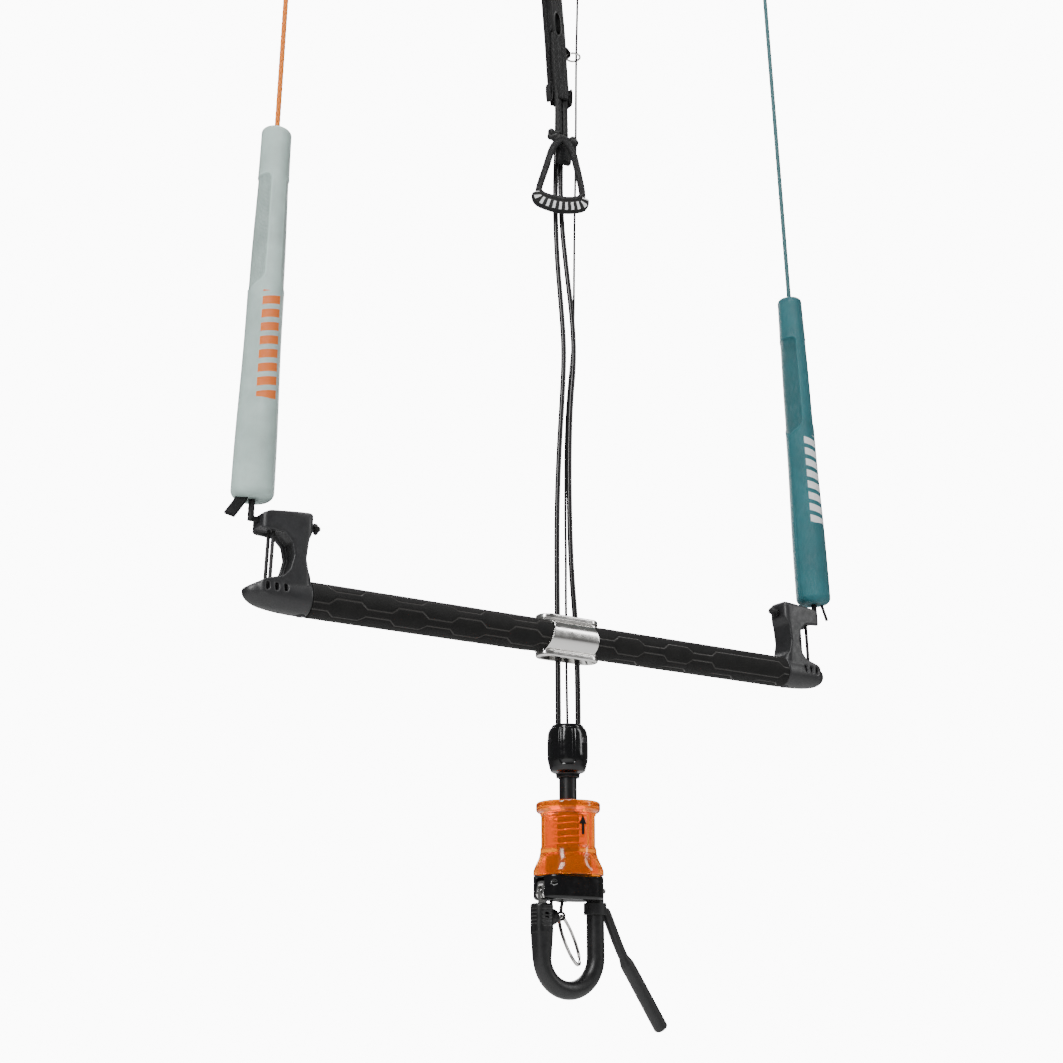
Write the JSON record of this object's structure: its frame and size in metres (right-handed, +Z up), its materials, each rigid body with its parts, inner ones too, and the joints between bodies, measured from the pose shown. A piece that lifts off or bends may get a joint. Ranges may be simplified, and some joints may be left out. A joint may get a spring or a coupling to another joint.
{
  "type": "kitesurf control bar",
  "caption": "Kitesurf control bar hung on its taut lines: steerable foam-gripped bar, line floats, trim handle, swivel, push-away release and chicken loop.",
  "frame": {"origin": "centre of the bar's line hole, on the taut centre line that holds the object up", "axes": "+X along the bar, towards the teal float; +Y away from the rider; +Z up the lines towards the kite"},
  "size_m": [0.5579, 0.062, 1.0199],
  "materials": {
    "tube_aluminium": "satin",
    "grip_foam": "matte",
    "insert_steel": "polished",
    "guide_plastic": "satin",
    "bar_end_plastic": "matte",
    "steel": "satin",
    "bungee": "matte",
    "rope_orange": "matte",
    "rope_teal": "matte",
    "float_foam_mint": "matte",
    "float_foam_teal": "matte",
    "webbing_black": "matte",
    "rope_black": "matte",
    "depower_tube": "satin",
    "safety_cord": "matte",
    "swivel_plastic": "gloss",
    "release_orange": "gloss",
    "base_plastic": "gloss",
    "loop_rubber": "satin",
    "finger_plastic": "matte",
    "crimp_aluminium": "satin"
  },
  "bodies": {
    "centre_lines": {"depower_line_left": "depower_tube", "depower_line_right": "depower_tube", "safety_line": "safety_cord", "safety_loop": "safety_cord", "trim_strap": "webbing_black", "front_line_loop": "rope_black", "strap_keepers": "webbing_black", "ring_tab": "webbing_black", "guide_ring": "steel", "swivel_housing": "swivel_plastic", "swivel_cap": "swivel_plastic", "swivel_screws": "steel", "swivel_bearing": "steel", "line_end_stops": "crimp_aluminium"},
    "line_guide": {"line_guide": "guide_plastic"},
    "bar": {"bar_tube": "tube_aluminium", "grip_left": "grip_foam", "grip_right": "grip_foam", "hole_insert": "insert_steel", "bar_end_left": "bar_end_plastic", "bar_end_right": "bar_end_plastic", "end_screws": "steel", "bungee_left": "bungee", "bungee_right": "bungee", "leader_anchor_left": "rope_black", "leader_anchor_right": "rope_black"},
    "leader_left": {"leader_line_left": "rope_orange", "leader_loop_left": "rope_orange"},
    "leader_right": {"leader_line_right": "rope_teal", "leader_loop_right": "rope_teal"},
    "float_left": {"float_left": "float_foam_mint", "float_tab_left": "webbing_black"},
    "float_right": {"float_right": "float_foam_teal", "float_tail_right": "rope_black"},
    "trim_handle": {"trim_rope_left": "rope_black", "trim_rope_right": "rope_black", "trim_knots": "rope_black", "handle_tongue": "webbing_black", "pull_handle": "webbing_black"},
    "release": {"swivel_shaft": "loop_rubber", "release_core": "base_plastic", "release_base": "base_plastic", "loop_pin": "steel", "latch_pin": "steel", "stopper_ball": "base_plastic", "ring_cord": "rope_black"},
    "sleeve": {"release_sleeve": "release_orange", "release_spring": "steel"},
    "latch": {"latch_hook": "steel"},
    "loop": {"loop_tube": "loop_rubber", "loop_end_cap": "loop_rubber", "loop_tongue": "steel"},
    "finger": {"finger_collar": "finger_plastic", "locking_finger": "finger_plastic"},
    "ring": {"leash_ring": "steel"}
  },
  "joints": [
    {"name": "bar_slide", "type": "slide", "parent": "centre_lines", "child": "line_guide", "axis": [0, 0, 1], "range_m": [-0.04, 0.2]},
    {"name": "bar_steer", "type": "hinge", "parent": "line_guide", "child": "bar", "pos_m": [0, 0, 0], "axis": [0, 1, 0], "range_deg": [-25, 25]},
    {"name": "leader_left_swing", "type": "hinge", "parent": "bar", "child": "leader_left", "pos_m": [-0.262, 0, 0.051], "axis": [0, 1, 0], "range_deg": [-25, 25]},
    {"name": "leader_right_swing", "type": "hinge", "parent": "bar", "child": "leader_right", "pos_m": [0.262, 0, 0.051], "axis": [0, 1, 0], "range_deg": [-25, 25]},
    {"name": "float_left_slide", "type": "slide", "parent": "leader_left", "child": "float_left", "axis": [0.01, 0, 1], "range_m": [0, 0.06]},
    {"name": "float_right_slide", "type": "slide", "parent": "leader_right", "child": "float_right", "axis": [-0.0315, 0, 0.9995], "range_m": [0, 0.06]},
    {"name": "trim_pull", "type": "slide", "parent": "centre_lines", "child": "trim_handle", "axis": [0.0449, 0, -0.999], "range_m": [0, 0.06]},
    {"name": "swivel_spin", "type": "hinge", "parent": "centre_lines", "child": "release", "pos_m": [0, 0, -0.09], "axis": [0, 0, 1], "continuous": true},
    {"name": "release_push", "type": "slide", "parent": "release", "child": "sleeve", "axis": [0, 0, 1], "range_m": [0, 0.015], "stiffness_N_per_m": 400, "springref_m": -0.01, "deforming": ["release_spring"]},
    {"name": "latch_swing", "type": "hinge", "parent": "release", "child": "latch", "pos_m": [-0.0215, 0, -0.1824], "axis": [0, 1, 0], "range_deg": [0, 30], "stiffness_Nm_per_rad": 0.02, "springref_deg": -11.46},
    {"name": "loop_open", "type": "hinge", "parent": "release", "child": "loop", "pos_m": [0.0235, 0, -0.187], "axis": [0, -1, 0], "range_deg": [0, 85]},
    {"name": "finger_swing", "type": "hinge", "parent": "loop", "child": "finger", "pos_m": [0.0235, 0, -0.2], "axis": [0, 0, 1], "range_deg": [-100, 45]},
    {"name": "ring_swing", "type": "hinge", "parent": "release", "child": "ring", "pos_m": [0.0112, 0.0264, -0.2035], "axis": [0.7373, 0.6756, 0], "range_deg": [-2, 10], "stiffness_Nm_per_rad": 0.01}
  ],
  "couplings": [
    {"joint": "leader_left_swing", "follows": "bar_steer", "ratio": -1},
    {"joint": "leader_right_swing", "follows": "bar_steer", "ratio": -1}
  ]
}
